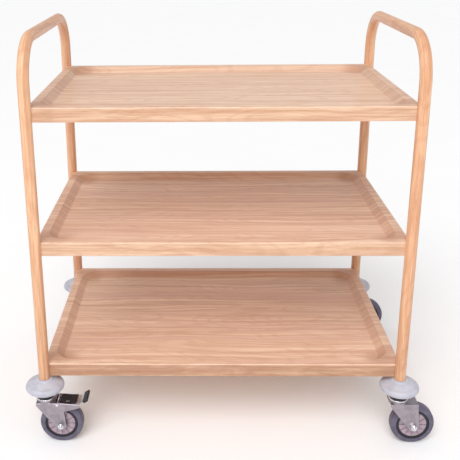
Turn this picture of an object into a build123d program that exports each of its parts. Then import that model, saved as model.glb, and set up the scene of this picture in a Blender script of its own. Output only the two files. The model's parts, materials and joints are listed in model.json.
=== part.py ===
from build123d import *
import math
import os

# Three-tier tray trolley on four swivel casters. Millimetres, +Z up, origin on the floor under
# the middle of the whole object's box. Front is -Y, left is -X.

# How far a cutting shape runs past the face that it cuts
CUT = 1.0

# Frame
LEG_SPAN_X = 812.0
LEG_SPAN_Y = 512.0
TUBE_R = 12.7
TUBE_WALL = 1.5
BEND_R = 92.0
HANDLE_Z = 933.0
TUBE_END_Z = 141.0

# Trays
RIM_HEIGHTS = {"bottom": 200.0, "middle": 499.0, "top": 798.0}
SHEET = 1.0
SKIRT_DEPTH = 31.0
SKIRT_EDGE_R = 3.0
HEM = 9.0
RIM_WIDTH = 21.0
BASIN_DEPTH = 13.0
BASIN_SLOPE_RUN = 16.0
BASIN_CORNER_R = 45.0
BASIN_FLOOR_R = 8.0
RIM_INNER_R = 3.0
TUBE_SEAT_GAP = 0.05
STIFFENER_LENGTH = 680.0
STIFFENER_WIDTH = 60.0
STIFFENER_FLANGE = 14.0
STIFFENER_HEIGHT = 11.0

# Tray fixings
SCREW_DROP = 16.0
SCREW_R = 3.0
SCREW_HEAD_R = 5.5
SCREW_HEAD_H = 3.4
SCREW_HEAD_ROUND = 0.8
SCREW_LENGTH = 9.0
RIVET_NUT_R = 4.5
RIVET_NUT_INNER = 5.5
RIVET_NUT_OUTER = 11.5
SADDLE_THICKNESS = 2.0
SADDLE_HEIGHT = 22.0
SADDLE_DROP = 3.2
SADDLE_TAB = 16.0

# Bumpers and leg ends
BUMPER_R = 44.0
BUMPER_MID_Z = 144.0
BUMPER_EDGE_R = 8.5
BUMPER_BASE_Z = 129.0
BUMPER_BASE_R = 20.0
BUMPER_COLLAR_Z = 164.0
BUMPER_COLLAR_R = 16.6
BUMPER_SHOULDER_R = 19.0
BUMPER_SHOULDER_Z = 160.0
SOCKET_LENGTH = 34.0
STEM_R = 6.0
STEM_TOP_Z = 172.0
STEM_CLEARANCE = 0.05
STEM_PASSAGE_R = 6.3
STEM_CHAMFER = 1.0

# Casters
WHEEL_R = 50.0
TRAIL = 35.0
NECK_R = 19.0
NECK_BASE_Z = 117.5
RACE_R = 22.0
RACE_GAP_LOW_Z = 112.2
RACE_GAP_HIGH_Z = 112.8
RACE_ROUND = 1.8
BALL_R = 2.4
BALL_PITCH_R = 15.0
BALL_COUNT = 14
BALL_GROOVE_R = 2.75
SWIVEL_BORE_R = 6.5
RIVET_HEAD_R = 9.5
RIVET_HEAD_LOW_Z = 101.8
RIVET_HEAD_HIGH_Z = 104.9
RIVET_HEAD_ROUND = 1.5

# Forks
FORK_TOP_Z = 108.0
FORK_SHEET = 2.5
FORK_HALF_WIDTH = 21.0
FORK_BACK_X = -20.0
FORK_BACK_LOW_Z = 102.0
FORK_BOSS_R = 12.5
FORK_FRONT_X = 42.0
FORK_THROAT = (43.5, 86.0)
FORK_ARM_LOW = (81.0, 97.0)
FORK_ARM_HIGH = (80.0, 104.5)
FORK_BEND_R = 2.0
BRIDGE_END_X = 24.0

# Axles
AXLE_R = 4.0
AXLE_HOLE_R = 4.1
SLEEVE_R = 6.0
HEX_R = 7.5
HEX_HEAD_H = 5.3
NUT_H = 6.5
THREAD_END = 4.5

# Wheels
TYRE_HALF_WIDTH = 13.0
TYRE_INNER_R = 38.0
TYRE_SHOULDER_R = 7.0
RIM_HALF_WIDTH = 11.5
RIM_INNER_SIDE_R = 33.6
WEB_HALF = 3.0
HUB_R = 11.8
HUB_HALF_LENGTH = 18.2
BEARING_R = 8.5
BEARING_HALF_LENGTH = 17.0
RUNNING_CLEARANCE = 0.06
COVER_OUTER_R = 33.3
COVER_INNER_R = 12.1
COVER_LOW = 9.0
COVER_HIGH = 11.6
COVER_RIB_COUNT = 12
COVER_RIB_HALF_WIDTH = 0.7
COVER_RIB_H = 0.9
COVER_RIB_INSET = 1.0
COVER_EDGE_R = 0.8

# Foot brakes on the two left casters
PEDAL_PIN = (28.5, 104.6)
PIN_R = 2.0
PIN_CLEARANCE = 0.08
PIN_HEAD_R = 3.0
PIN_HEAD_H = 1.2
LEVER_LOW_Z = 104.6
LEVER_HIGH_Z = 106.2
LEVER_START_X = 33.0
LEVER_END_X = 83.0
LEVER_HALF_WIDTH = 17.6
LUG_R = 3.3
LUG_THICKNESS = 3.0
SHOE_X = 52.0
SHOE_HALF_LENGTH = 5.0
SHOE_LOW_Z = 101.6
SHOE_HALF_WIDTH = 11.0
TIP_RISE = 10.0
TIP_RUN = 15.0
TIP_THICKNESS = 2.0
PAD_THICKNESS = 1.6
PAD_START_INSET = 1.0
PAD_END_INSET = 10.0
PAD_WINDOW = (10.0, 5.0)
PAD_WINDOW_Y = -10.0
TONGUE = (7.0, 3.0)
TONGUE_H = 2.0
CAP_WALL = 1.4
CAP_START = 0.45
CAP_EDGE_R = 1.6
SPRING_COIL_R = 3.2
SPRING_WIRE_R = 0.55
SPRING_COILS = 4
SPRING_LEG = 14.0
SPRING_OVERLAP = 0.05

LEG_X = LEG_SPAN_X / 2
LEG_Y = LEG_SPAN_Y / 2
FRAME_X = (BUMPER_R - TRAIL - WHEEL_R) / 2
CORNERS = {
    "front_left": (-1, -1),
    "front_right": (1, -1),
    "back_left": (-1, 1),
    "back_right": (1, 1),
}
BRAKED = ("front_left", "back_left")


def leg_place(corner):
    side_x, side_y = CORNERS[corner]
    return FRAME_X + side_x * LEG_X, side_y * LEG_Y


def drum(radius, low, high, axis_dir=(0, 0, 1), origin=(0, 0, 0)):
    """A cylinder along axis_dir, from low to high along it, measured from origin."""
    base = Plane(origin=origin, z_dir=axis_dir)
    return base * Pos(0, 0, (low + high) / 2) * Cylinder(radius, high - low)


def ring(outer, inner, low, high, axis_dir=(0, 0, 1), origin=(0, 0, 0)):
    bore = drum(inner, low - CUT, high + CUT, axis_dir, origin)
    return drum(outer, low, high, axis_dir, origin) - bore


def block(x_range, y_range, z_range):
    size = [high - low for low, high in (x_range, y_range, z_range)]
    middle = [(high + low) / 2 for low, high in (x_range, y_range, z_range)]
    return Pos(*middle) * Box(*size)


def group(shapes):
    return Compound(children=[part for shape in shapes for part in shape.solids()])


def save(name, shape):
    os.makedirs("parts", exist_ok=True)
    export_step(shape, f"parts/{name}.step")


# Frame tubes

def frame_tube(side_x):
    """One bent tube: up the front leg, over as the end handle, and down the back leg."""
    x = FRAME_X + side_x * LEG_X
    start = (x, -LEG_Y, TUBE_END_Z)
    corners = [(x, -LEG_Y, HANDLE_Z), (x, LEG_Y, HANDLE_Z)]
    path = FilletPolyline(start, *corners, (x, LEG_Y, TUBE_END_Z), radius=BEND_R)
    foot = Plane(origin=start, z_dir=(0, 0, 1))
    tube = sweep(foot * Circle(TUBE_R), path) - sweep(foot * Circle(TUBE_R - TUBE_WALL), path)
    for side_y in (-1, 1):
        for rim_z in RIM_HEIGHTS.values():
            tube -= fixing_drum(side_x, side_y, rim_z, RIVET_NUT_R, RIVET_NUT_INNER, TUBE_R + CUT)
    return tube


def fixing_drum(side_x, side_y, rim_z, radius, near, far):
    """A cylinder on one tray screw's axis, which points from the tube's axis into the tray."""
    origin = (FRAME_X + side_x * LEG_X, side_y * LEG_Y, rim_z - SCREW_DROP)
    return drum(radius, near, far, (-side_x, -side_y, 0), origin)


# Trays

def basin(growth):
    """The dished middle of a tray, hung from z = 0, growing by growth on every side."""
    half_x = LEG_X - RIM_WIDTH + growth
    half_y = LEG_Y - RIM_WIDTH + growth
    outline = RectangleRounded(2 * half_x, 2 * half_y, BASIN_CORNER_R + growth)
    slope = math.degrees(math.atan(BASIN_SLOPE_RUN / BASIN_DEPTH))
    dish = extrude(outline, amount=BASIN_DEPTH + growth, dir=(0, 0, -1), taper=slope)
    floor = dish.faces().sort_by(Axis.Z)[0]
    return fillet(floor.edges(), BASIN_FLOOR_R + growth)


def soft_top_box(half_x, half_y, top, bottom, radius):
    body = block((-half_x, half_x), (-half_y, half_y), (bottom, top))
    return fillet(body.faces().sort_by(Axis.Z)[-1].edges(), radius)


def tray(rim_z):
    """A pressed tray: skirt, flat rim, sloped sides, flat floor, hem, corners seated on the tubes."""
    outer = soft_top_box(LEG_X, LEG_Y, 0, -SKIRT_DEPTH, SKIRT_EDGE_R)
    inner_r = SKIRT_EDGE_R - SHEET
    inner = soft_top_box(LEG_X - SHEET, LEG_Y - SHEET, -SHEET, -SKIRT_DEPTH - CUT, inner_r)
    hem_z = (-SKIRT_DEPTH, -SKIRT_DEPTH + SHEET)
    hem = block((-LEG_X, LEG_X), (-LEG_Y, LEG_Y), hem_z)
    hem -= block((-LEG_X + HEM, LEG_X - HEM), (-LEG_Y + HEM, LEG_Y - HEM), hem_z)
    body = outer - inner + hem + basin(SHEET) - basin(0)
    rim = body.faces().filter_by(Axis.Z).sort_by(Axis.Z)[-1]
    body = fillet(rim.inner_wires()[0].edges(), RIM_INNER_R)
    for side_x, side_y in CORNERS.values():
        seat = drum(TUBE_R + TUBE_SEAT_GAP, -SKIRT_DEPTH - CUT, CUT)
        body -= Pos(side_x * LEG_X, side_y * LEG_Y, 0) * seat
    return Pos(FRAME_X, 0, rim_z) * body


def stiffener(rim_z):
    """The hat channel welded along the middle of a tray's underside."""
    top = rim_z - BASIN_DEPTH - SHEET
    low = top - STIFFENER_HEIGHT
    half = STIFFENER_WIDTH / 2
    long = (FRAME_X - STIFFENER_LENGTH / 2, FRAME_X + STIFFENER_LENGTH / 2)
    channel = block(long, (-half, half), (low, top))
    channel -= block(long, (-half + SHEET, half - SHEET), (low + SHEET, top))
    for side_y in (-1, 1):
        flange_y = sorted((side_y * (half - SHEET), side_y * (half + STIFFENER_FLANGE)))
        channel += block(long, flange_y, (top - SHEET, top))
    return channel


def tray_saddle(side_x, side_y, rim_z):
    """The saddle inside a tray's corner that seats on the tube and takes the fixing screw."""
    high = rim_z - SADDLE_DROP
    low = high - SADDLE_HEIGHT
    near = TUBE_R + TUBE_SEAT_GAP
    far = near + SADDLE_THICKNESS
    saddle = drum(far, low, high)
    tab_end = near + SADDLE_TAB
    saddle += block((SHEET, SHEET + SADDLE_THICKNESS), (near, tab_end), (low, high))
    saddle += block((near, tab_end), (SHEET, SHEET + SADDLE_THICKNESS), (low, high))
    saddle &= block((SHEET, tab_end), (SHEET, tab_end), (low, high))
    saddle -= drum(near, low - CUT, high + CUT)
    if side_x > 0:
        saddle = mirror(saddle, Plane.YZ)
    if side_y > 0:
        saddle = mirror(saddle, Plane.XZ)
    saddle = Pos(FRAME_X + side_x * LEG_X, side_y * LEG_Y, 0) * saddle
    hole = fixing_drum(side_x, side_y, rim_z, SCREW_R + TUBE_SEAT_GAP, near - CUT, far + CUT)
    return saddle - hole


def tray_screw(side_x, side_y, rim_z):
    seat = TUBE_R + TUBE_SEAT_GAP + SADDLE_THICKNESS
    head = fixing_drum(side_x, side_y, rim_z, SCREW_HEAD_R, seat, seat + SCREW_HEAD_H)
    head = fillet(head.edges().filter_by(GeomType.CIRCLE), SCREW_HEAD_ROUND)
    shank = fixing_drum(side_x, side_y, rim_z, SCREW_R, seat - SCREW_LENGTH, seat + SCREW_HEAD_H / 2)
    return head + shank


def rivet_nut(side_x, side_y, rim_z):
    nut = fixing_drum(side_x, side_y, rim_z, RIVET_NUT_R, RIVET_NUT_INNER, RIVET_NUT_OUTER)
    bore_r = SCREW_R + STEM_CLEARANCE
    return nut - fixing_drum(side_x, side_y, rim_z, bore_r, RIVET_NUT_INNER - CUT, TUBE_R + CUT)


def at_every_fixing(make):
    places = [(sx, sy, z) for z in RIM_HEIGHTS.values() for sx, sy in CORNERS.values()]
    return group(make(*place) for place in places)


# Leg ends

def at_every_leg(shape):
    return group(Pos(*leg_place(corner), 0) * shape for corner in CORNERS)


def bumper():
    """The round bumper under a leg: collar on the tube, conical top, rounded edge."""
    bore = STEM_PASSAGE_R
    seat = TUBE_R + TUBE_SEAT_GAP
    edge_r = BUMPER_R - BUMPER_EDGE_R
    low_edge = (edge_r, BUMPER_MID_Z - BUMPER_EDGE_R)
    high_edge = (edge_r, BUMPER_MID_Z + BUMPER_EDGE_R)
    under = Polyline((bore, BUMPER_BASE_Z), (BUMPER_BASE_R, BUMPER_BASE_Z), low_edge)
    rounding = ThreePointArc(low_edge, (BUMPER_R, BUMPER_MID_Z), high_edge)
    top = Polyline(
        high_edge,
        (BUMPER_SHOULDER_R, BUMPER_SHOULDER_Z),
        (BUMPER_COLLAR_R, BUMPER_COLLAR_Z),
        (seat, BUMPER_COLLAR_Z),
        (seat, TUBE_END_Z),
        (bore, TUBE_END_Z),
        (bore, BUMPER_BASE_Z),
    )
    half = make_face(Plane.XZ * (under + rounding + top))
    return revolve(half, Axis.Z)


def leg_socket():
    radius = TUBE_R - TUBE_WALL
    plug = drum(radius, TUBE_END_Z, TUBE_END_Z + SOCKET_LENGTH)
    return plug - drum(STEM_R + STEM_CLEARANCE, TUBE_END_Z - CUT, TUBE_END_Z + SOCKET_LENGTH + CUT)


def caster_stem():
    """The threaded stem, riveted over under the fork's bridge."""
    stem = drum(STEM_R, RIVET_HEAD_LOW_Z, STEM_TOP_Z)
    stem = chamfer(stem.edges().filter_by(GeomType.CIRCLE).sort_by(Axis.Z)[-1:], STEM_CHAMFER)
    head = drum(RIVET_HEAD_R, RIVET_HEAD_LOW_Z, RIVET_HEAD_HIGH_Z)
    return stem + fillet(head.edges().filter_by(GeomType.CIRCLE).sort_by(Axis.Z)[:1], RIVET_HEAD_ROUND)


def ball_groove():
    return Pos(0, 0, ball_height()) * Torus(BALL_PITCH_R, BALL_GROOVE_R)


def ball_height():
    return (RACE_GAP_LOW_Z + RACE_GAP_HIGH_Z) / 2


def upper_race():
    race = drum(RACE_R, RACE_GAP_HIGH_Z, NECK_BASE_Z)
    race = fillet(race.edges().filter_by(GeomType.CIRCLE), RACE_ROUND)
    return race - ball_groove() - drum(STEM_R + STEM_CLEARANCE, RACE_GAP_LOW_Z, BUMPER_BASE_Z)


def ball_set():
    balls = []
    for index in range(BALL_COUNT):
        angle = 360 * index / BALL_COUNT
        balls.append(Rot(0, 0, angle) * Pos(BALL_PITCH_R, 0, ball_height()) * Sphere(BALL_R))
    return group(balls)


# Casters, built with the swivel axis on Z, trailing towards +X

def tangent_point(start, centre, radius):
    """Where a line from start touches the lower left of a circle."""
    away_x, away_z = start[0] - centre[0], start[1] - centre[1]
    distance = math.hypot(away_x, away_z)
    turn = math.acos(radius / distance)
    angle = math.atan2(away_z, away_x) + turn
    return centre[0] + radius * math.cos(angle), centre[1] + radius * math.sin(angle)


def fork_outline(braked):
    """The side view of a fork's leg, in X and Z."""
    axle = (TRAIL, WHEEL_R)
    back_low = (FORK_BACK_X, FORK_BACK_LOW_Z)
    points = [(FORK_BACK_X, FORK_TOP_Z), back_low, tangent_point(back_low, axle, FORK_BOSS_R)]
    points += [axle, (TRAIL + FORK_BOSS_R, WHEEL_R), FORK_THROAT]
    if braked:
        points += [FORK_ARM_LOW, FORK_ARM_HIGH]
    points.append((FORK_FRONT_X, FORK_TOP_Z))
    return Polygon(*points, align=None) + Pos(*axle) * Circle(FORK_BOSS_R)


def fork(braked):
    """The pressed fork with the lower ball race on its bridge."""
    side_view = Plane.XZ * fork_outline(braked)
    body = extrude(side_view, amount=FORK_HALF_WIDTH, both=True)
    bend = [edge for edge in body.edges().filter_by(Axis.X) if edge.center().Z > FORK_TOP_Z - 0.1]
    body = fillet(bend, FORK_BEND_R)
    inner_half = FORK_HALF_WIDTH - FORK_SHEET
    reach = (FORK_BACK_X - CUT, FORK_ARM_LOW[0] + CUT)
    body -= block(reach, (-inner_half, inner_half), (0, FORK_TOP_Z - FORK_SHEET))
    if braked:
        open_x = (BRIDGE_END_X, FORK_ARM_LOW[0] + CUT)
        body -= block(open_x, (-inner_half, inner_half), (0, FORK_TOP_Z + CUT))
    race = drum(RACE_R, FORK_TOP_Z - FORK_SHEET, RACE_GAP_LOW_Z)
    race = fillet(race.edges().filter_by(GeomType.CIRCLE).sort_by(Axis.Z)[-1:], RACE_ROUND)
    body = body + race - ball_groove() - drum(SWIVEL_BORE_R, FORK_BACK_LOW_Z, BUMPER_BASE_Z)
    across = FORK_HALF_WIDTH + CUT
    body -= axle_drum(AXLE_HOLE_R, -across, across)
    if braked:
        body -= pin_drum(PIN_R, -across, across)
    return body


def axle_drum(radius, low, high):
    return drum(radius, low, high, (0, 1, 0), (TRAIL, 0, WHEEL_R))


def axle_hex(low, high):
    face = Plane(origin=(TRAIL, low, WHEEL_R), z_dir=(0, 1, 0)) * RegularPolygon(HEX_R, 6)
    return extrude(face, amount=high - low)


def axle_bolt():
    head = axle_hex(FORK_HALF_WIDTH, FORK_HALF_WIDTH + HEX_HEAD_H)
    return head + axle_drum(AXLE_R, -FORK_HALF_WIDTH - NUT_H - THREAD_END, FORK_HALF_WIDTH + CUT)


def axle_nut():
    nut = axle_hex(-FORK_HALF_WIDTH - NUT_H, -FORK_HALF_WIDTH)
    return nut - axle_drum(AXLE_R + STEM_CLEARANCE, -FORK_HALF_WIDTH - NUT_H - CUT, 0)


def axle_sleeve():
    half = FORK_HALF_WIDTH - FORK_SHEET
    return axle_drum(SLEEVE_R, -half, half) - axle_drum(AXLE_HOLE_R, -half - CUT, half + CUT)


def wheel_core():
    """The moulded wheel centre: hub, web and rim."""
    core = axle_drum(TYRE_INNER_R, -RIM_HALF_WIDTH, RIM_HALF_WIDTH)
    for low, high in ((-RIM_HALF_WIDTH - CUT, -WEB_HALF), (WEB_HALF, RIM_HALF_WIDTH + CUT)):
        core -= axle_drum(RIM_INNER_SIDE_R, low, high)
    core += axle_drum(HUB_R, -HUB_HALF_LENGTH, HUB_HALF_LENGTH)
    return core - axle_drum(BEARING_R, -HUB_HALF_LENGTH - CUT, HUB_HALF_LENGTH + CUT)


def tyre():
    body = axle_drum(WHEEL_R, -TYRE_HALF_WIDTH, TYRE_HALF_WIDTH)
    body = fillet(body.edges().filter_by(GeomType.CIRCLE), TYRE_SHOULDER_R)
    return body - axle_drum(TYRE_INNER_R, -TYRE_HALF_WIDTH - CUT, TYRE_HALF_WIDTH + CUT)


def wheel_bearing():
    body = axle_drum(BEARING_R, -BEARING_HALF_LENGTH, BEARING_HALF_LENGTH)
    bore_r = SLEEVE_R + RUNNING_CLEARANCE
    return body - axle_drum(bore_r, -BEARING_HALF_LENGTH - CUT, BEARING_HALF_LENGTH + CUT)


def wheel_covers():
    """The pair of ribbed cover discs between the hub and the rim."""
    covers = []
    rib_low = COVER_INNER_R + COVER_RIB_INSET
    rib_high = COVER_OUTER_R - COVER_RIB_INSET
    for side_y in (-1, 1):
        low, high = sorted((side_y * COVER_LOW, side_y * COVER_HIGH))
        cover = axle_drum(COVER_OUTER_R, low, high)
        cover = fillet(cover.edges().filter_by(GeomType.CIRCLE), COVER_EDGE_R)
        cover -= axle_drum(COVER_INNER_R, low - CUT, high + CUT)
        rib_y = sorted((side_y * COVER_LOW, side_y * (COVER_HIGH + COVER_RIB_H)))
        rib_width = (-COVER_RIB_HALF_WIDTH, COVER_RIB_HALF_WIDTH)
        for index in range(COVER_RIB_COUNT):
            rib = block((rib_low, rib_high), rib_y, rib_width)
            turn = Rot(0, 360 * index / COVER_RIB_COUNT, 0)
            cover += Pos(TRAIL, 0, WHEEL_R) * turn * rib
        covers.append(cover)
    return group(covers)


# Foot brake

def pin_drum(radius, low, high):
    return drum(radius, low, high, (0, 1, 0), (PEDAL_PIN[0], 0, PEDAL_PIN[1]))


def raised_tip(start_x, low_z, thickness, half_width):
    """The turned-up end of a plate, as a slanted slab in X and Z."""
    points = [(start_x, low_z), (start_x + TIP_RUN, low_z + TIP_RISE)]
    points += [(start_x + TIP_RUN - thickness, low_z + TIP_RISE + thickness)]
    points += [(start_x - thickness / 2, low_z + thickness)]
    face = Plane.XZ * Polygon(*points, align=None)
    return extrude(face, amount=half_width, both=True)


def brake_lever():
    """The steel lever: plate, two lugs on the pin, shoe, tongue for the pad and turned-up end."""
    width = (-LEVER_HALF_WIDTH, LEVER_HALF_WIDTH)
    lever = block((LEVER_START_X, LEVER_END_X), width, (LEVER_LOW_Z, LEVER_HIGH_Z))
    lever += raised_tip(LEVER_END_X, LEVER_LOW_Z, TIP_THICKNESS, LEVER_HALF_WIDTH)
    for side_y in (-1, 1):
        lug_y = sorted((side_y * LEVER_HALF_WIDTH, side_y * (LEVER_HALF_WIDTH - LUG_THICKNESS)))
        lever += pin_drum(LUG_R, *lug_y)
        lug_x = (PEDAL_PIN[0], LEVER_START_X + LUG_R)
        lever += block(lug_x, lug_y, (PEDAL_PIN[1] - LUG_R / 2, LEVER_HIGH_Z))
    shoe_x = (SHOE_X - SHOE_HALF_LENGTH, SHOE_X + SHOE_HALF_LENGTH)
    shoe = block(shoe_x, (-SHOE_HALF_WIDTH, SHOE_HALF_WIDTH), (SHOE_LOW_Z, LEVER_HIGH_Z))
    tongue = Pos(SHOE_X, PAD_WINDOW_Y, LEVER_HIGH_Z + TONGUE_H / 2) * Box(*TONGUE, TONGUE_H)
    across = LEVER_HALF_WIDTH + CUT
    return lever + shoe + tongue - pin_drum(PIN_R + PIN_CLEARANCE, -across, across)


def pedal_pad():
    """The moulded pad on the lever, with a window for the lever's tongue."""
    width = (-LEVER_HALF_WIDTH, LEVER_HALF_WIDTH)
    high = LEVER_HIGH_Z + PAD_THICKNESS
    long = (LEVER_START_X + PAD_START_INSET, LEVER_END_X - PAD_END_INSET)
    pad = block(long, width, (LEVER_HIGH_Z, high))
    half_x, half_y = PAD_WINDOW[0] / 2, PAD_WINDOW[1] / 2
    window_y = (PAD_WINDOW_Y - half_y, PAD_WINDOW_Y + half_y)
    pad -= block((SHOE_X - half_x, SHOE_X + half_x), window_y, (LEVER_HIGH_Z - CUT, high + CUT))
    return pad


def pedal_tip():
    """The moulded cap over the lever's turned-up end."""
    half = LEVER_HALF_WIDTH + CAP_WALL
    low_x, low_z = LEVER_END_X + TIP_RUN * CAP_START, LEVER_LOW_Z + TIP_RISE * CAP_START
    slope = math.degrees(math.atan2(TIP_RISE, TIP_RUN))
    length = math.hypot(TIP_RISE, TIP_RUN) * (1 - CAP_START) + CAP_WALL + TIP_THICKNESS / 2
    cap = block((0, length), (-half, half), (-CAP_WALL, TIP_THICKNESS * math.sqrt(2) + CAP_WALL))
    cap = fillet(cap.edges().filter_by(Axis.Y).sort_by(Axis.X)[-2:], CAP_EDGE_R)
    cap = Pos(low_x, 0, low_z) * Rot(0, -slope, 0) * cap
    return cap - brake_lever()


def brake_pin():
    half = FORK_HALF_WIDTH
    pin = pin_drum(PIN_R, -half, half)
    for side_y in (-1, 1):
        head_y = sorted((side_y * half, side_y * (half + PIN_HEAD_H)))
        pin += pin_drum(PIN_HEAD_R, *head_y)
    return pin


def brake_spring():
    """The torsion spring on the pin: closed coils and one leg that bears under the bridge."""
    spring = None
    pitch = 2 * SPRING_WIRE_R
    for index in range(SPRING_COILS):
        y = (index - (SPRING_COILS - 1) / 2) * (pitch - SPRING_OVERLAP)
        coil = Plane(origin=(PEDAL_PIN[0], y, PEDAL_PIN[1]), z_dir=(0, 1, 0))
        turn = coil * Torus(SPRING_COIL_R - SPRING_WIRE_R, SPRING_WIRE_R)
        spring = turn if spring is None else spring + turn
    top_z = PEDAL_PIN[1] - SPRING_COIL_R + SPRING_WIRE_R
    leg = drum(SPRING_WIRE_R, 0, SPRING_LEG, (-1, 0, 0), (PEDAL_PIN[0], 0, top_z))
    return spring + leg


def main():
    save("left_frame_tube", frame_tube(-1))
    save("right_frame_tube", frame_tube(1))
    for tier, rim_z in RIM_HEIGHTS.items():
        save(f"{tier}_tray", tray(rim_z))
    save("tray_stiffeners", group(stiffener(rim_z) for rim_z in RIM_HEIGHTS.values()))
    save("tray_saddles", at_every_fixing(tray_saddle))
    save("tray_screws", at_every_fixing(tray_screw))
    save("rivet_nuts", at_every_fixing(rivet_nut))
    save("leg_sockets", at_every_leg(leg_socket()))
    save("caster_stems", at_every_leg(caster_stem()))
    save("neck_rings", at_every_leg(ring(NECK_R, STEM_PASSAGE_R, NECK_BASE_Z, BUMPER_BASE_Z)))
    save("upper_ball_races", at_every_leg(upper_race()))
    save("swivel_balls", at_every_leg(ball_set()))
    wheel_pieces = {
        "axle_bolt": axle_bolt(),
        "axle_nut": axle_nut(),
        "axle_sleeve": axle_sleeve(),
        "wheel_core": wheel_core(),
        "wheel_bearing": wheel_bearing(),
        "wheel_covers": wheel_covers(),
        "tyre": tyre(),
    }
    brake_pieces = {
        "brake_lever": brake_lever(),
        "pedal_pad": pedal_pad(),
        "pedal_tip": pedal_tip(),
        "brake_pin": brake_pin(),
        "brake_spring": brake_spring(),
    }
    for corner in CORNERS:
        place = Pos(*leg_place(corner), 0)
        save(f"{corner}_bumper", place * bumper())
        save(f"{corner}_fork", place * fork(corner in BRAKED))
        pieces = dict(wheel_pieces)
        if corner in BRAKED:
            pieces.update(brake_pieces)
        for name, shape in pieces.items():
            save(f"{corner}_{name}", place * shape)


main()
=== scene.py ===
import json
import math

import bmesh
import bpy
from mathutils import Matrix, Vector


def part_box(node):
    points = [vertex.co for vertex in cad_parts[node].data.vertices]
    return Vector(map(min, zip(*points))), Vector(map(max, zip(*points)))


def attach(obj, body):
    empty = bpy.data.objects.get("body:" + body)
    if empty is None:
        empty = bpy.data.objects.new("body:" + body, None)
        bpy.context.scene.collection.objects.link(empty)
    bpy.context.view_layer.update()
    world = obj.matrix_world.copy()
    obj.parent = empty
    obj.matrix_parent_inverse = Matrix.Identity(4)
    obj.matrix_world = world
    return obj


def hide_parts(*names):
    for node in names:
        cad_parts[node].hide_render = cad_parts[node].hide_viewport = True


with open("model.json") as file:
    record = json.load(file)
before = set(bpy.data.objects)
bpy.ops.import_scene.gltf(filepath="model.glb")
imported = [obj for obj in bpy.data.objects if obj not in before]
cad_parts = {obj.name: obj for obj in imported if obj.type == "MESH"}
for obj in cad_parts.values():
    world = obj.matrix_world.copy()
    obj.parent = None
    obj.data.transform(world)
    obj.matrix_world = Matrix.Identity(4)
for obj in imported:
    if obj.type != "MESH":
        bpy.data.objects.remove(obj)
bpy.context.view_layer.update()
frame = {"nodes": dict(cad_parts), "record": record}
NODES = frame["nodes"]

CORNERS = ("front_left", "front_right", "back_left", "back_right")
TUBES = ("left_frame_tube", "right_frame_tube")

# The camera, in metres and degrees in the cart's frame, with its lens and sensor in mm.
CAMERA_PLACE = (-0.0699, -1.7472, 1.1378)
CAMERA_YAW = -1.317
CAMERA_PITCH = 17.296
CAMERA_ROLL = 0.570
CAMERA_LENS = 58.53
CAMERA_SENSOR = 36
CAMERA_SHIFT = (0.103, -0.140)

# The floor and the lights: metres, the sun's spread in degrees and the key light's power in watts.
FLOOR_SIZE = 60
WORLD_STRENGTH = 0.60
SUN_PLACE = (-0.7, -2.4, 2.9)
SUN_SPREAD = 40
SUN_STRENGTH = 1.60
KEY_PLACE = (-0.3, -2.6, 2.3)
KEY_AIM = (0, 0, 0.75)
KEY_SIZE = 1.6
KEY_POWER = 16

# The cart's sizes that its surfaces and axle ends repeat, in metres.
BEND_R = 0.092
TRAY_PITCH = 0.299
DRAWN_CORNER = 0.040
BASIN_INSET = 0.021
BASIN_CORNER_R = 0.045
AXLE_SHANK_R = 0.004
AXLE_BORE_R = 0.00405
HEX_CHAMFER = 0.0012
THREAD_PITCH = 0.00125
THREAD_DEPTH = 0.0006

# Shares: a chamfered face's radius of the radius to the flats, the moulding line's of the bumper.
CHAMFER_FACE = 0.95
BUMPER_SEAM = 0.43

# Painted shade low on the skirts: in full at the first of these numbers of tray pitches under the top
# tray, and none above the second. The legs' painted shade fades out at the third, in metres under the
# handles' top.
LOW_SHADE_FULL_BELOW = 1.9
LOW_SHADE_NONE_ABOVE = 1.5
LEG_SHADE_FROM_TOP = 0.4

# Counts: ribs on a wheel cover, points round a ring, and rings in one turn of thread.
COVER_RIBS = 12
HEX_STEPS = 72
THREAD_RINGS = 8

# Edges of the axle ends that bend by more than this stay sharp, in degrees.
SHARP_ANGLE = 28


def srgb(red, green, blue):
    """Linear colour from 0-255 display values."""
    linear = []
    for value in (red, green, blue):
        v = value / 255
        linear.append(v / 12.92 if v <= 0.04045 else ((v + 0.055) / 1.055) ** 2.4)
    return (*linear, 1.0)


# Node building

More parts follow.
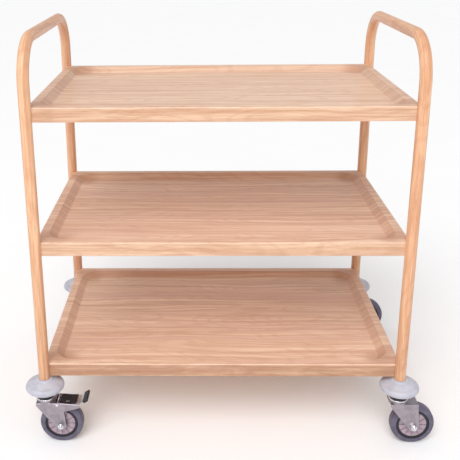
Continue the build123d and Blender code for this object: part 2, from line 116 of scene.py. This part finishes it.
class Graph:
    """A material's node tree, with one short method for each kind of node."""

    def __init__(self, name, **shader_values):
        self.material = bpy.data.materials.new(name)
        self.material.use_nodes = True
        self.tree = self.material.node_tree
        self.shader = self.tree.nodes["Principled BSDF"]
        for socket, value in shader_values.items():
            self.shader.inputs[socket.replace("_", " ")].default_value = value
        self.place = self.node("ShaderNodeTexCoord").outputs["Object"]

    def node(self, kind, **settings):
        made = self.tree.nodes.new(kind)
        for key, value in settings.items():
            setattr(made, key, value)
        return made

    def feed(self, socket, value):
        if isinstance(value, bpy.types.NodeSocket):
            self.tree.links.new(value, socket)
        elif value is not None:
            socket.default_value = value

    def math(self, operation, first, second=None, third=None, clamp=False):
        made = self.node("ShaderNodeMath", operation=operation, use_clamp=clamp)
        for socket, value in zip(made.inputs, (first, second, third)):
            self.feed(socket, value)
        return made.outputs[0]

    def length(self, first, second):
        """The length of a flat vector with these two parts."""
        squares = (self.math("POWER", first, 2.0), self.math("POWER", second, 2.0))
        return self.math("SQRT", self.math("ADD", *squares))

    def split(self, vector):
        made = self.node("ShaderNodeSeparateXYZ")
        self.feed(made.inputs[0], vector)
        return made.outputs[0], made.outputs[1], made.outputs[2]

    def join(self, x, y, z):
        made = self.node("ShaderNodeCombineXYZ")
        for socket, value in zip(made.inputs, (x, y, z)):
            self.feed(socket, value)
        return made.outputs[0]

    def scaled(self, vector, scale, offset=(0, 0, 0)):
        made = self.node("ShaderNodeMapping")
        self.feed(made.inputs["Vector"], vector)
        made.inputs["Scale"].default_value = scale
        made.inputs["Location"].default_value = offset
        return made.outputs[0]

    def noise(self, vector, scale=1.0, detail=2.0, rough=0.5):
        made = self.node("ShaderNodeTexNoise")
        self.feed(made.inputs["Vector"], vector)
        made.inputs["Scale"].default_value = scale
        made.inputs["Detail"].default_value = detail
        made.inputs["Roughness"].default_value = rough
        return made.outputs["Fac"]

    def normal(self):
        return self.node("ShaderNodeNewGeometry").outputs["True Normal"]

    def span(self, value, low, high, to_low=0.0, to_high=1.0):
        """Eased from to_low to to_high as value goes from low to high."""
        made = self.node("ShaderNodeMapRange", interpolation_type="SMOOTHSTEP")
        for socket, item in zip(made.inputs, (value, low, high, to_low, to_high)):
            self.feed(socket, item)
        return made.outputs[0]

    def mix(self, share, first, second, blend="MIX"):
        made = self.node("ShaderNodeMix", data_type="RGBA", blend_type=blend)
        self.feed(made.inputs["Factor"], share)
        self.feed(made.inputs[6], first)
        self.feed(made.inputs[7], second)
        return made.outputs[2]

    def tint(self, tone, share, strength, colour):
        """The tone moved towards a colour by share times strength."""
        return self.mix(self.math("MULTIPLY", share, strength), tone, colour)

    def bump(self, height, strength, distance):
        made = self.node("ShaderNodeBump")
        made.inputs["Strength"].default_value = strength
        made.inputs["Distance"].default_value = distance
        self.feed(made.inputs["Height"], height)
        self.feed(self.shader.inputs["Normal"], made.outputs[0])

    def colour(self, value):
        self.feed(self.shader.inputs["Base Color"], value)

    def roughness(self, value):
        self.feed(self.shader.inputs["Roughness"], value)


# Woodgrain coating

WOOD_LIGHT = srgb(246, 214, 188)
WOOD_MID = srgb(219, 175, 147)
WOOD_DARK = srgb(198, 146, 112)
WOOD_PORE = srgb(160, 108, 78)
WOOD_BLUSH = srgb(218, 174, 155)
# The stretched coating's colour, also used for the painted shade along the basins' edges and on their
# slopes.
WOOD_STRETCHED_AND_SHADE = srgb(186, 136, 106)
WOOD_WORN = srgb(250, 222, 196)

# Colours that multiply the grain: painted shade on the skirts, painted shade low down on the lowest
# skirt and the legs, and the tubes' own tone.
WOOD_SKIRT_SHADE = srgb(240, 233, 224)
WOOD_LOW_SHADE = srgb(220, 210, 203)
WOOD_ON_TUBE = srgb(255, 238, 218)

# Noise scales along, across and deep to the grain, per metre.
SWAY_GRAIN = (2.2, 9, 9)
STREAK_GRAIN = (1.3, 84, 84)
BROAD_GRAIN = (0.9, 22, 22)
FIGURE_GRAIN = (3.2, 13, 13)
FIBRE_GRAIN = (6, 380, 380)
PORE_GRAIN = (55, 1500, 1500)

# Metres that the grain wanders across, and by which it is shifted from one piece to the next.
GRAIN_SWAY = 0.050
GRAIN_SHIFT = 0.37
FIGURE_RINGS = 84


def woodgrain(name, grain_space, finish):
    """Wood-effect coating. grain_space(graph) gives metres along, across and deep to the grain."""
    graph = Graph(name, IOR=1.5, Coat_Weight=0.10, Coat_Roughness=0.35)
    space = grain_space(graph)
    along, across, deep = graph.split(space)
    sway = graph.noise(graph.scaled(space, SWAY_GRAIN), detail=1.5)
    flow = graph.join(along, graph.math("MULTIPLY_ADD", sway, GRAIN_SWAY, across), deep)
    streaks = graph.noise(graph.scaled(flow, STREAK_GRAIN), detail=5, rough=0.76)
    broad = graph.noise(graph.scaled(flow, BROAD_GRAIN, (3.1, 1.7, 0)), detail=2)
    figure = graph.noise(graph.scaled(flow, FIGURE_GRAIN, (7.7, 0, 2)), detail=1)
    rings = graph.math("SINE", graph.math("MULTIPLY", figure, FIGURE_RINGS))
    fibre = graph.noise(graph.scaled(flow, FIBRE_GRAIN), detail=3, rough=0.65)
    pores = graph.noise(graph.scaled(flow, PORE_GRAIN, (1, 4, 6)), detail=1)
    pore_share = graph.math("MULTIPLY", graph.span(pores, 0.60, 0.74), graph.span(streaks, 0.4, 0.62))
    tone = graph.mix(graph.span(streaks, 0.36, 0.64), WOOD_LIGHT, WOOD_MID)
    tone = graph.tint(tone, graph.span(rings, 0.1, 1.0), 0.20, WOOD_DARK)
    tone = graph.tint(tone, graph.span(broad, 0.46, 0.72), 0.55, WOOD_BLUSH)
    tone = graph.tint(tone, graph.span(fibre, 0.48, 0.68), 0.42, WOOD_DARK)
    tone = graph.tint(tone, pore_share, 0.50, WOOD_PORE)
    patch = graph.noise(graph.place, scale=14, detail=2)
    rough = graph.math("MULTIPLY_ADD", patch, 0.12, 0.36)
    rough = graph.math("MULTIPLY_ADD", pore_share, 0.15, rough)
    tone, rough = finish(graph, tone, rough)
    graph.colour(tone)
    graph.roughness(rough)
    graph.bump(graph.math("MULTIPLY_ADD", pore_share, -1.2, fibre), 0.10, 0.0004)
    return graph.material


def tray_grain_space(graph):
    """Along X over a tray's floor, slopes and long sides, and down its short ends, as a film lies."""
    x, y, z = graph.split(graph.place)
    normal_x, normal_y = graph.split(graph.normal())[:2]
    end_share = graph.span(graph.math("ABSOLUTE", normal_x), 0.75, 0.9)
    side_share = graph.span(graph.math("ABSOLUTE", normal_y), 0.75, 0.9)
    along = graph.math("MULTIPLY_ADD", z, end_share, x)
    level = graph.math("FLOOR", graph.math("DIVIDE", z, TRAY_PITCH))
    shift = graph.math("MULTIPLY", level, GRAIN_SHIFT)
    return graph.join(along, y, graph.math("MULTIPLY_ADD", z, side_share, shift))


def tube_grain_space(graph):
    """Along a bent tube's own line, round both bends and over the handle."""
    low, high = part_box("left_frame_tube")
    tube_r = (high.x - low.x) / 2
    bend_y = high.y - tube_r - BEND_R
    bend_z = high.z - tube_r - BEND_R
    x, y, z = graph.split(graph.place)
    off_middle = graph.math("ABSOLUTE", y)
    past_y = graph.math("MAXIMUM", graph.math("SUBTRACT", off_middle, bend_y), 0.0)
    past_z = graph.math("MAXIMUM", graph.math("SUBTRACT", z, bend_z), 0.0)
    reach = graph.length(past_y, past_z)
    turned = graph.math("MULTIPLY", graph.math("ARCTAN2", past_z, past_y), BEND_R)
    leg = graph.math("MINIMUM", z, bend_z)
    over = graph.math("SUBTRACT", bend_y, graph.math("MINIMUM", off_middle, bend_y))
    along = graph.math("ADD", graph.math("ADD", leg, turned), over)
    shift = graph.math("MULTIPLY", graph.math("SIGN", y), GRAIN_SHIFT)
    return graph.join(graph.math("ADD", along, shift), graph.math("SUBTRACT", reach, BEND_R), x)


def past_line(graph, off, half, inset):
    """How far along X and Y a point lies past a line set in from the tray's edges."""
    return [graph.math("SUBTRACT", away, size - inset) for away, size in zip(off, half)]


def stretched_corners(graph, tone, off, half):
    """Darker where the coating is stretched over the tray's outer corners."""
    away = graph.length(*past_line(graph, off, half, DRAWN_CORNER))
    ragged = graph.math("MULTIPLY_ADD", graph.noise(graph.place, scale=28, detail=2), 0.02, away)
    return graph.mix(graph.span(ragged, 0.022, 0.062, 0.62, 0.0), tone, WOOD_STRETCHED_AND_SHADE)


def basin_edge_shade(graph, tone, off, half):
    """Painted shade: a faint dark line round the basin's edge."""
    past = past_line(graph, off, half, BASIN_INSET + BASIN_CORNER_R)
    out = graph.length(*(graph.math("MAXIMUM", part, 0.0) for part in past))
    off_shade_line = graph.math("ABSOLUTE", graph.math("SUBTRACT", out, BASIN_CORNER_R))
    return graph.mix(graph.span(off_shade_line, 0.0006, 0.0024, 0.22, 0.0), tone, WOOD_STRETCHED_AND_SHADE)


def slope_and_skirt_shade(graph, tone, z, top_tray_low):
    """Painted shade: darker on the basins' slopes, greyer on the skirts, and darker in patches on the
    lowest one.
    """
    levelness = graph.math("ABSOLUTE", graph.split(graph.normal())[2])
    upright = graph.span(levelness, 0.05, 0.5, 1.0, 0.0)
    sloped = graph.math("SUBTRACT", graph.span(levelness, 0.90, 0.98, 1.0, 0.0), upright, clamp=True)
    tone = graph.tint(tone, sloped, 0.28, WOOD_STRETCHED_AND_SHADE)
    tone = graph.mix(upright, tone, WOOD_SKIRT_SHADE, blend="MULTIPLY")
    # Painted shade on the lowest skirt, broken into patches by noise.
    shade_patches = graph.noise(graph.scaled(graph.place, (14, 14, 60)), detail=3, rough=0.6)
    low_skirt_shade = graph.span(z, top_tray_low - TRAY_PITCH * LOW_SHADE_FULL_BELOW,
                        top_tray_low - TRAY_PITCH * LOW_SHADE_NONE_ABOVE, 1.0, 0.0)
    low_skirt_shade = graph.math("MULTIPLY", low_skirt_shade, graph.span(shade_patches, 0.3, 0.6, 0.55, 1.0))
    return graph.mix(graph.math("MULTIPLY", upright, low_skirt_shade), tone, WOOD_LOW_SHADE, blend="MULTIPLY")


def rubbed_edges(graph, off, half, z, top_tray_high):
    """The share by which a tray's outer top edge is rubbed, in uneven patches."""
    inside = graph.math("MINIMUM", graph.math("SUBTRACT", half[0], off[0]),
                        graph.math("SUBTRACT", half[1], off[1]))
    rim = graph.span(inside, 0.0002, 0.0032, 1.0, 0.0)
    below = graph.math("MODULO", graph.math("SUBTRACT", top_tray_high + TRAY_PITCH, z), TRAY_PITCH)
    at_edge = graph.math("MULTIPLY", rim, graph.span(below, 0.0005, 0.0030, 1.0, 0.0))
    patches = graph.noise(graph.scaled(graph.place, (30, 60, 60)), detail=4, rough=0.7)
    return graph.math("MULTIPLY", at_edge, graph.span(patches, 0.38, 0.62, 0.25, 1.0))


def tray_finish(graph, tone, rough):
    """Marks of pressing on the corners, painted shade along the basin's edge, on the slopes and on the
    skirts, and wear on the edges.
    """
    low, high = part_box("top_tray")
    x, y, z = graph.split(graph.place)
    from_middle = graph.math("SUBTRACT", x, (low.x + high.x) / 2)
    off = (graph.math("ABSOLUTE", from_middle), graph.math("ABSOLUTE", y))
    half = ((high.x - low.x) / 2, high.y)
    tone = stretched_corners(graph, tone, off, half)
    tone = basin_edge_shade(graph, tone, off, half)
    tone = slope_and_skirt_shade(graph, tone, z, low.z)
    worn = rubbed_edges(graph, off, half, z, high.z)
    tone = graph.tint(tone, worn, 0.7, WOOD_WORN)
    return tone, graph.math("MULTIPLY_ADD", worn, -0.10, rough)


def tube_finish(graph, tone, rough):
    """Yellower than the trays, dark and polished at the handles, with painted shade and scuffs low
    down.
    """
    low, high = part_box("left_frame_tube")
    z = graph.split(graph.place)[2]
    tone = graph.mix(1.0, tone, WOOD_ON_TUBE, blend="MULTIPLY")
    # Painted shade, deepening down the legs towards the floor.
    lower = graph.span(z, low.z, high.z - LEG_SHADE_FROM_TOP, 0.6, 0.0)
    tone = graph.mix(lower, tone, WOOD_LOW_SHADE, blend="MULTIPLY")
    held = graph.span(z, high.z - BEND_R, high.z - 0.02)
    patchy = graph.noise(graph.scaled(graph.place, (40, 25, 40)), detail=3)
    held = graph.math("MULTIPLY", held, graph.span(patchy, 0.3, 0.7, 0.4, 1.0))
    tone = graph.tint(tone, held, 0.18, WOOD_DARK)
    scuff = graph.noise(graph.scaled(graph.place, (160, 160, 420)), detail=4, rough=0.75)
    near_floor = graph.span(z, low.z + 0.02, low.z + 0.16, 1.0, 0.0)
    scuffed = graph.math("MULTIPLY", graph.span(scuff, 0.60, 0.70), near_floor)
    tone = graph.tint(tone, scuffed, 0.45, WOOD_PORE)
    rough = graph.math("MULTIPLY_ADD", held, -0.12, rough)
    return tone, graph.math("MULTIPLY_ADD", scuffed, 0.2, rough)


# Metal, rubber and plastics

def zinc(name, bright, dull, rough):
    """Zinc plate with cloudy passivation, fine rolling marks and dull specks."""
    graph = Graph(name, Metallic=1.0)
    cloud = graph.noise(graph.place, scale=70, detail=4, rough=0.6)
    speck = graph.noise(graph.place, scale=900, detail=2)
    marks = graph.noise(graph.scaled(graph.place, (420, 420, 24)), detail=3, rough=0.6)
    tone = graph.mix(graph.span(cloud, 0.35, 0.68), bright, dull)
    tone = graph.tint(tone, graph.span(marks, 0.45, 0.7), 0.35, dull)
    tone = graph.tint(tone, graph.span(speck, 0.60, 0.76), 0.35, srgb(120, 112, 120))
    graph.colour(tone)
    graph.roughness(graph.math("MULTIPLY_ADD", cloud, 0.16, rough))
    graph.bump(graph.math("ADD", marks, graph.math("MULTIPLY", cloud, 0.6)), 0.06, 0.0003)
    return graph.material


def bumper_vinyl():
    """Light grey-lilac soft vinyl with a moulding line and scuffs round the outer edge."""
    graph = Graph("bumper_vinyl", IOR=1.46)
    low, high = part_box("front_left_bumper")
    mottle = graph.noise(graph.place, scale=60, detail=3)
    grain = graph.noise(graph.place, scale=2600, detail=1)
    scuff = graph.noise(graph.scaled(graph.place, (130, 130, 900)), detail=3, rough=0.7)
    seam_z = low.z + (high.z - low.z) * BUMPER_SEAM
    off_seam = graph.math("ABSOLUTE", graph.math("SUBTRACT", graph.split(graph.place)[2], seam_z))
    near_edge = graph.span(off_seam, 0.0, 0.010, 1.0, 0.0)
    seam = graph.span(off_seam, 0.0002, 0.0006, 1.0, 0.0)
    scuffed = graph.math("MULTIPLY", graph.span(scuff, 0.56, 0.70), near_edge)
    tone = graph.mix(graph.span(mottle, 0.35, 0.7), srgb(196, 196, 206), srgb(184, 184, 196))
    tone = graph.tint(tone, scuffed, 0.40, srgb(140, 138, 152))
    tone = graph.tint(tone, near_edge, 0.22, srgb(150, 149, 163))
    graph.colour(tone)
    graph.roughness(graph.math("MULTIPLY_ADD", mottle, 0.18, 0.36))
    relief = graph.math("MULTIPLY_ADD", scuffed, -1.5, grain)
    graph.bump(graph.math("MULTIPLY_ADD", seam, 2.5, relief), 0.10, 0.0002)
    return graph.material


def tyre_rubber():
    """Grey-violet soft tread with a moulding line, dulled and dusty where it rolls."""
    graph = Graph("tread_rubber", IOR=1.45)
    low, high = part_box("back_left_tyre")
    cloud = graph.noise(graph.place, scale=70, detail=4, rough=0.6)
    dust = graph.noise(graph.place, scale=420, detail=3, rough=0.7)
    grain = graph.noise(graph.place, scale=3200, detail=1)
    off_middle = graph.math("ABSOLUTE", graph.split(graph.place)[1])
    off_seam = graph.math("ABSOLUTE", graph.math("SUBTRACT", off_middle, (low.y + high.y) / 2))
    seam = graph.span(off_seam, 0.0002, 0.0007, 1.0, 0.0)
    rolled = graph.span(off_seam, 0.002, 0.008, 1.0, 0.0)
    tone = graph.mix(graph.span(cloud, 0.3, 0.7), srgb(84, 79, 97), srgb(103, 97, 117))
    tone = graph.tint(tone, graph.span(dust, 0.55, 0.75), 0.30, srgb(142, 137, 148))
    tone = graph.tint(tone, rolled, 0.25, srgb(120, 114, 126))
    graph.colour(tone)
    graph.roughness(graph.math("MULTIPLY_ADD", dust, 0.25, 0.38))
    relief = graph.math("ADD", grain, dust)
    graph.bump(graph.math("MULTIPLY_ADD", seam, 3.0, relief), 0.10, 0.0003)
    return graph.material


def cover_plastic(corner):
    """Lilac-brown moulded cover discs with dirt, painted shade beside the ribs, darker near the hub,
    and a near-black painted shade round the rim.
    """
    graph = Graph(f"{corner}_cover_plastic", IOR=1.47)
    low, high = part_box(f"{corner}_wheel_covers")
    axle = (low + high) / 2
    cover_r = (high.x - low.x) / 2
    x, _, z = graph.split(graph.place)
    right = graph.math("SUBTRACT", x, axle.x)
    up = graph.math("SUBTRACT", z, axle.z)
    reach = graph.length(right, up)
    turn = graph.math("MULTIPLY", graph.math("ARCTAN2", up, right), COVER_RIBS / math.tau)
    beside = graph.math("MULTIPLY", graph.math("PINGPONG", turn, 0.5), reach)
    cloud = graph.noise(graph.place, scale=120, detail=3)
    dirt = graph.noise(graph.place, scale=500, detail=3, rough=0.7)
    grain = graph.noise(graph.place, scale=4000, detail=1)
    # Painted shade beside the ribs, left off the rib crests, and darker near the hub.
    rib_shade = graph.span(beside, 0.0008, 0.0026, 0.60, 0.0)
    hub_darkening = graph.span(reach, 0.013, 0.018, 0.45, 0.0)
    # Painted shade: a near-black ring round the cover's outer edge.
    rim_shade = graph.span(reach, cover_r - 0.0030, cover_r - 0.0014, 0.0, 0.92)
    hub_and_rib_darkening = graph.math("MAXIMUM", rib_shade, hub_darkening)
    off_rib = graph.span(beside, 0.0002, 0.0006, 0.0, 1.0)
    tone = graph.mix(graph.span(cloud, 0.3, 0.7), srgb(176, 157, 168), srgb(156, 136, 149))
    tone = graph.tint(tone, graph.span(dirt, 0.55, 0.72), 0.35, srgb(112, 96, 108))
    tone = graph.tint(tone, hub_and_rib_darkening, off_rib, srgb(74, 62, 72))
    tone = graph.mix(rim_shade, tone, srgb(34, 30, 36))
    graph.colour(tone)
    graph.roughness(graph.math("MULTIPLY_ADD", dirt, 0.20, 0.34))
    graph.bump(grain, 0.08, 0.0002)
    return graph.material


def black_plastic():
    """Glass-filled black moulding with fine grain and greyed scuffs."""
    graph = Graph("black_plastic", IOR=1.48)
    cloud = graph.noise(graph.place, scale=160, detail=3)
    scuff = graph.noise(graph.scaled(graph.place, (90, 700, 90)), detail=4, rough=0.7)
    grain = graph.noise(graph.place, scale=3500, detail=1)
    scuffed = graph.span(scuff, 0.58, 0.74)
    tone = graph.mix(graph.span(cloud, 0.35, 0.7), srgb(22, 21, 25), srgb(38, 36, 42))
    tone = graph.tint(tone, scuffed, 0.3, srgb(88, 86, 92))
    graph.colour(tone)
    graph.roughness(graph.math("MULTIPLY_ADD", cloud, 0.25, 0.32))
    graph.bump(graph.math("MULTIPLY_ADD", scuffed, -0.8, grain), 0.15, 0.0003)
    return graph.material


# Dressing the CAD nodes

def dress(piece, material):
    piece.data.materials.clear()
    piece.data.materials.append(material)


def make_materials():
    return {
        "woodgrain": woodgrain("tray_woodgrain", tray_grain_space, tray_finish),
        "tubes": woodgrain("tube_woodgrain", tube_grain_space, tube_finish),
        "zinc": zinc("bright_zinc", srgb(240, 240, 243), srgb(212, 210, 216), 0.14),
        "forks": zinc("fork_zinc", srgb(174, 166, 174), srgb(158, 149, 158), 0.28),
        "levers": zinc("lever_zinc", srgb(232, 232, 236), srgb(205, 204, 210), 0.42),
        "grey_rubber": bumper_vinyl(),
        "tread_rubber": tyre_rubber(),
        "black_plastic": black_plastic(),
    }


def dress_frame(materials):
    slots = {row["node"]: row["material_slot"] for row in frame["record"]["subparts"]}
    for name, node in NODES.items():
        if name in TUBES:
            dress(node, materials["tubes"])
        elif name.endswith("_fork"):
            dress(node, materials["forks"])
        elif name.endswith("_brake_lever"):
            dress(node, materials["levers"])
        elif name.endswith("_wheel_covers"):
            dress(node, cover_plastic(name.removesuffix("_wheel_covers")))
        else:
            dress(node, materials[slots[name]])


# Threaded axle ends

def ring_mesh(name, rings, hollow):
    """A mesh about the Y axis from rings of (along, radius at each of the angles)."""
    mesh = bmesh.new()
    loops = []
    for along, radii in rings:
        loop = []
        for index, radius in enumerate(radii):
            angle = math.tau * index / len(radii)
            loop.append(mesh.verts.new((radius * math.cos(angle), along, radius * math.sin(angle))))
        loops.append(loop)
    pairs = list(zip(loops, loops[1:]))
    if hollow:
        pairs.append((loops[-1], loops[0]))
    else:
        mesh.faces.new(loops[0])
        mesh.faces.new(list(reversed(loops[-1])))
    for first, second in pairs:
        for index in range(len(first)):
            after = (index + 1) % len(first)
            mesh.faces.new((first[after], first[index], second[index], second[after]))
    bmesh.ops.recalc_face_normals(mesh, faces=mesh.faces)
    data = bpy.data.meshes.new(name)
    mesh.to_mesh(data)
    mesh.free()
    data.shade_smooth()
    data.set_sharp_from_angle(angle=math.radians(SHARP_ANGLE))
    piece = bpy.data.objects.new(name, data)
    bpy.context.scene.collection.objects.link(piece)
    return piece


def circle(radius):
    return [radius] * HEX_STEPS


def flat_radius(corner_r):
    return corner_r * math.cos(math.pi / 6)


def hexagon(corner_r, limit_r):
    """A hexagon's radius at each angle, with its corners up and down, cut back to limit_r."""
    flat_r = flat_radius(corner_r)
    radii = []
    for index in range(HEX_STEPS):
        turned = math.tau * index / HEX_STEPS + math.pi / 6
        off_flat = turned % (math.pi / 3) - math.pi / 6
        radii.append(min(flat_r / math.cos(off_flat), limit_r))
    return radii


def chamfered_hex(corner_r, start, end):
    """Rings of a hexagonal head whose corners are turned off at both faces."""
    face_r = flat_radius(corner_r) * CHAMFER_FACE
    slope = (corner_r - face_r) / HEX_CHAMFER
    steps = [HEX_CHAMFER * share for share in (0.0, 0.25, 0.5, 0.75, 1.0)]
    cuts = [(step, hexagon(corner_r, face_r + step * slope)) for step in steps]
    rings = [(start + step, radii) for step, radii in cuts]
    rings += [(end - step, radii) for step, radii in reversed(cuts)]
    return rings


def threads(outer_r, start, end):
    """Rings of a screw thread from start to end, its last turn fading into a chamfer."""
    count = round(abs(end - start) / THREAD_PITCH * THREAD_RINGS)
    rings = []
    for step in range(count + 1):
        along = start + (end - start) * step / count
        radii = []
        for index in range(HEX_STEPS):
            phase = (step / THREAD_RINGS + index / HEX_STEPS) % 1.0
            fade = min(1.0, (count - step) / THREAD_RINGS)
            depth = THREAD_DEPTH * (abs(2 * phase - 1) * fade + (1 - fade))
            radii.append(outer_r - depth)
        rings.append((along, radii))
    return rings


def axle_nut(corner, material):
    """A chamfered nut, bored to clear the threaded end."""
    low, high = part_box(f"{corner}_axle_nut")
    middle = (low + high) / 2
    corner_r = (high.z - low.z) / 2
    half = (high.y - low.y) / 2
    rings = chamfered_hex(corner_r, -half, half)
    rings = [(-half, circle(AXLE_BORE_R))] + rings + [(half, circle(AXLE_BORE_R))]
    nut = ring_mesh(f"{corner}_axle_nut_visual", rings, hollow=True)
    nut.location = middle
    dress(nut, material)
    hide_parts(f"{corner}_axle_nut")
    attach(nut, f"{corner}_swivel")


def axle_bolt(corner, material):
    """The bolt through the wheel: chamfered head at the back, plain shank, threaded front end."""
    low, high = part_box(f"{corner}_axle_bolt")
    nut_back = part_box(f"{corner}_axle_nut")[1].y
    fork_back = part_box(f"{corner}_fork")[1].y
    corner_r = (high.z - low.z) / 2
    head_start = fork_back - high.y
    length = high.y - low.y
    thread_start = nut_back - high.y
    rings = threads(AXLE_SHANK_R, thread_start, -length)
    rings.reverse()
    rings += [(thread_start, circle(AXLE_SHANK_R)), (head_start, circle(AXLE_SHANK_R))]
    rings += chamfered_hex(corner_r, head_start, 0.0)
    bolt = ring_mesh(f"{corner}_axle_bolt_visual", rings, hollow=False)
    bolt.location = ((low.x + high.x) / 2, high.y, (low.z + high.z) / 2)
    dress(bolt, material)
    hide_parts(f"{corner}_axle_bolt")
    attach(bolt, f"{corner}_swivel")


# Stage, lights and camera

def make_stage():
    bpy.ops.mesh.primitive_plane_add(size=FLOOR_SIZE, location=(0, 0, 0))
    floor = bpy.context.object
    floor.name = "stage_floor"
    graph = Graph("pale_floor", Roughness=0.9)
    tint = graph.noise(graph.place, scale=3, detail=2)
    graph.colour(graph.mix(tint, srgb(255, 255, 255), srgb(252, 252, 253)))
    dress(floor, graph.material)


def link_lamp(name, light, place, aim):
    lamp = bpy.data.objects.new(name, light)
    lamp.location = place
    lamp.rotation_euler = (Vector(aim) - Vector(place)).to_track_quat("-Z", "Y").to_euler()
    bpy.context.scene.collection.objects.link(lamp)


def sun_light(name, place, spread, strength):
    light = bpy.data.lights.new(name, "SUN")
    light.angle = math.radians(spread)
    light.energy = strength
    link_lamp(name, light, place, (0, 0, 0))


def area_light(name, place, aim, size, power):
    light = bpy.data.lights.new(name, "AREA")
    light.shape = "DISK"
    light.size = size
    light.energy = power
    link_lamp(name, light, place, aim)


def make_lights():
    world = bpy.data.worlds.new("studio")
    world.use_nodes = True
    background = world.node_tree.nodes["Background"]
    background.inputs["Color"].default_value = (1.0, 1.0, 1.0, 1.0)
    background.inputs["Strength"].default_value = WORLD_STRENGTH
    bpy.context.scene.world = world
    sun_light("soft_sun", SUN_PLACE, SUN_SPREAD, SUN_STRENGTH)
    area_light("front_key", KEY_PLACE, KEY_AIM, KEY_SIZE, KEY_POWER)


def make_camera():
    yaw, pitch, roll = (math.radians(v) for v in (CAMERA_YAW, CAMERA_PITCH, CAMERA_ROLL))
    look = Vector((math.sin(yaw) * math.cos(pitch), math.cos(yaw) * math.cos(pitch), -math.sin(pitch)))
    level_right = look.cross(Vector((0, 0, 1))).normalized()
    level_down = look.cross(level_right)
    right = level_right * math.cos(roll) + level_down * math.sin(roll)
    up = right.cross(look)
    turn = Matrix((right, up, -look)).transposed()
    data = bpy.data.cameras.new("camera")
    data.sensor_width = CAMERA_SENSOR
    data.lens = CAMERA_LENS
    data.shift_x, data.shift_y = CAMERA_SHIFT
    camera = bpy.data.objects.new("camera", data)
    camera.matrix_world = Matrix.Translation(CAMERA_PLACE) @ turn.to_4x4()
    bpy.context.scene.collection.objects.link(camera)
    bpy.context.scene.camera = camera


make_camera()
materials = make_materials()
dress_frame(materials)
for each_corner in CORNERS:
    axle_nut(each_corner, materials["zinc"])
    axle_bolt(each_corner, materials["zinc"])
make_stage()
make_lights()
bpy.context.scene.view_settings.view_transform = "Standard"
